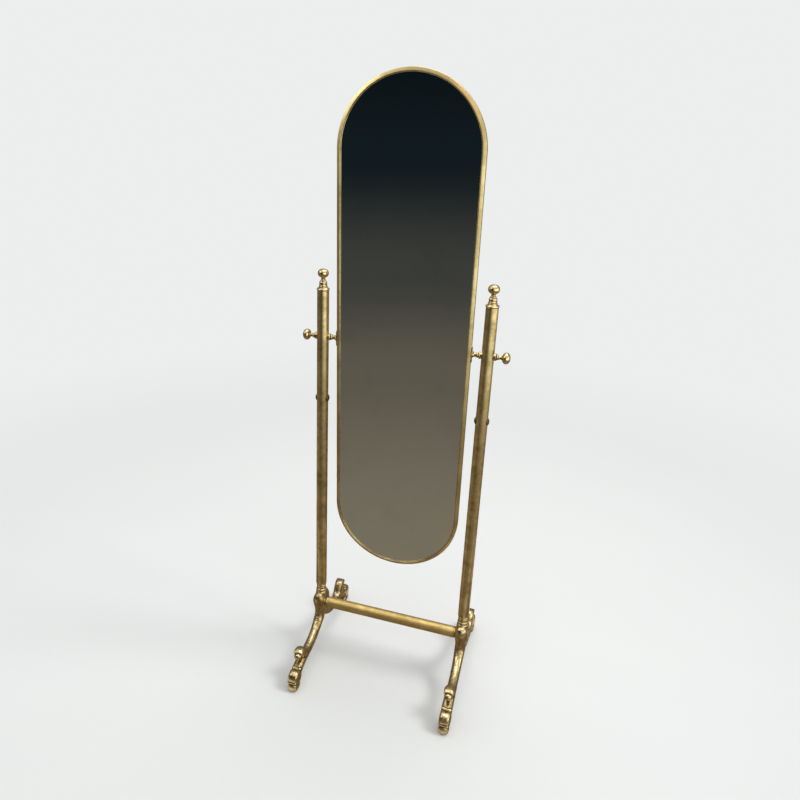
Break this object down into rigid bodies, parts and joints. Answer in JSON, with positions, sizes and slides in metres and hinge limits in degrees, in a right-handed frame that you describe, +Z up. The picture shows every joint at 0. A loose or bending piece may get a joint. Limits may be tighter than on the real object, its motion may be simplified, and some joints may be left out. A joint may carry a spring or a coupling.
{
  "type": "floor mirror",
  "caption": "Tall round-ended floor mirror that tips between tube posts on scroll-legged cast feet joined by a stretcher, held at its pivots by clamp knobs.",
  "frame": {"origin": "on the floor, midway between the posts", "axes": "+X to the viewer's right along the pivot line, -Y the way the glass faces, +Z up"},
  "size_m": [0.559, 0.458, 1.6787],
  "materials": {
    "cast_brass": "polished casting, aged darker in the hollows",
    "turned_brass": "turned and polished, lightly aged",
    "post_brass": "satin tube with lengthwise grain, aged",
    "stretcher_brass": "satin tube, warm and lightly aged",
    "frame_brass": "satin, lengthwise grain, aged",
    "fastener_steel": "plain zinc plated steel",
    "mirror_silver": "silvered glass, polished",
    "backing_wood": "plain hardboard",
    "fibre": "plain fibre washer"
  },
  "bodies": {
    "stand": {"left_hub": "cast_brass", "right_hub": "cast_brass", "left_front_leg": "cast_brass", "left_rear_leg": "cast_brass", "right_front_leg": "cast_brass", "right_rear_leg": "cast_brass", "leg_studs": "fastener_steel", "left_base_collar": "turned_brass", "right_base_collar": "turned_brass", "post_studs": "fastener_steel", "post_inserts": "fastener_steel", "left_post": "post_brass", "right_post": "post_brass", "left_finial": "turned_brass", "right_finial": "turned_brass", "left_post_plugs": "turned_brass", "right_post_plugs": "turned_brass", "left_inner_saddle": "turned_brass", "right_inner_saddle": "turned_brass", "left_outer_saddle": "turned_brass", "right_outer_saddle": "turned_brass", "stretcher": "stretcher_brass", "left_ferrule": "turned_brass", "right_ferrule": "turned_brass", "stretcher_inserts": "fastener_steel", "stretcher_bolts": "fastener_steel"},
    "mirror": {"mirror_frame": "frame_brass", "mirror_glass": "mirror_silver", "backing_board": "backing_wood", "board_clips": "frame_brass", "clip_screws": "fastener_steel", "left_pivot_plate": "frame_brass", "right_pivot_plate": "frame_brass", "plate_screws": "fastener_steel", "left_spindle": "turned_brass", "right_spindle": "turned_brass"},
    "left_clamp": {"left_thrust_washer": "fibre"},
    "left_knob": {"left_knob": "turned_brass", "left_knob_stud": "fastener_steel"},
    "right_clamp": {"right_thrust_washer": "fibre"},
    "right_knob": {"right_knob": "turned_brass", "right_knob_stud": "fastener_steel"}
  },
  "joints": [
    {"name": "mirror_tilt", "type": "hinge", "parent": "stand", "child": "mirror", "pos_m": [0, 0, 1.016], "axis": [1, 0, 0], "continuous": true},
    {"name": "left_knob_travel", "type": "slide", "parent": "mirror", "child": "left_clamp", "axis": [-1, 0, 0], "range_m": [0, 0.00101]},
    {"name": "left_knob_turn", "type": "hinge", "parent": "left_clamp", "child": "left_knob", "pos_m": [-0.223, 0, 1.016], "axis": [-1, 0, 0], "range_deg": [0, 360]},
    {"name": "right_knob_travel", "type": "slide", "parent": "mirror", "child": "right_clamp", "axis": [1, 0, 0], "range_m": [0, 0.00101]},
    {"name": "right_knob_turn", "type": "hinge", "parent": "right_clamp", "child": "right_knob", "pos_m": [0.223, 0, 1.016], "axis": [1, 0, 0], "range_deg": [0, 360]}
  ],
  "couplings": [
    {"joint": "left_knob_travel", "follows": "left_knob_turn", "m_per_rad": 0.00015915},
    {"joint": "right_knob_travel", "follows": "right_knob_turn", "m_per_rad": 0.00015915}
  ]
}
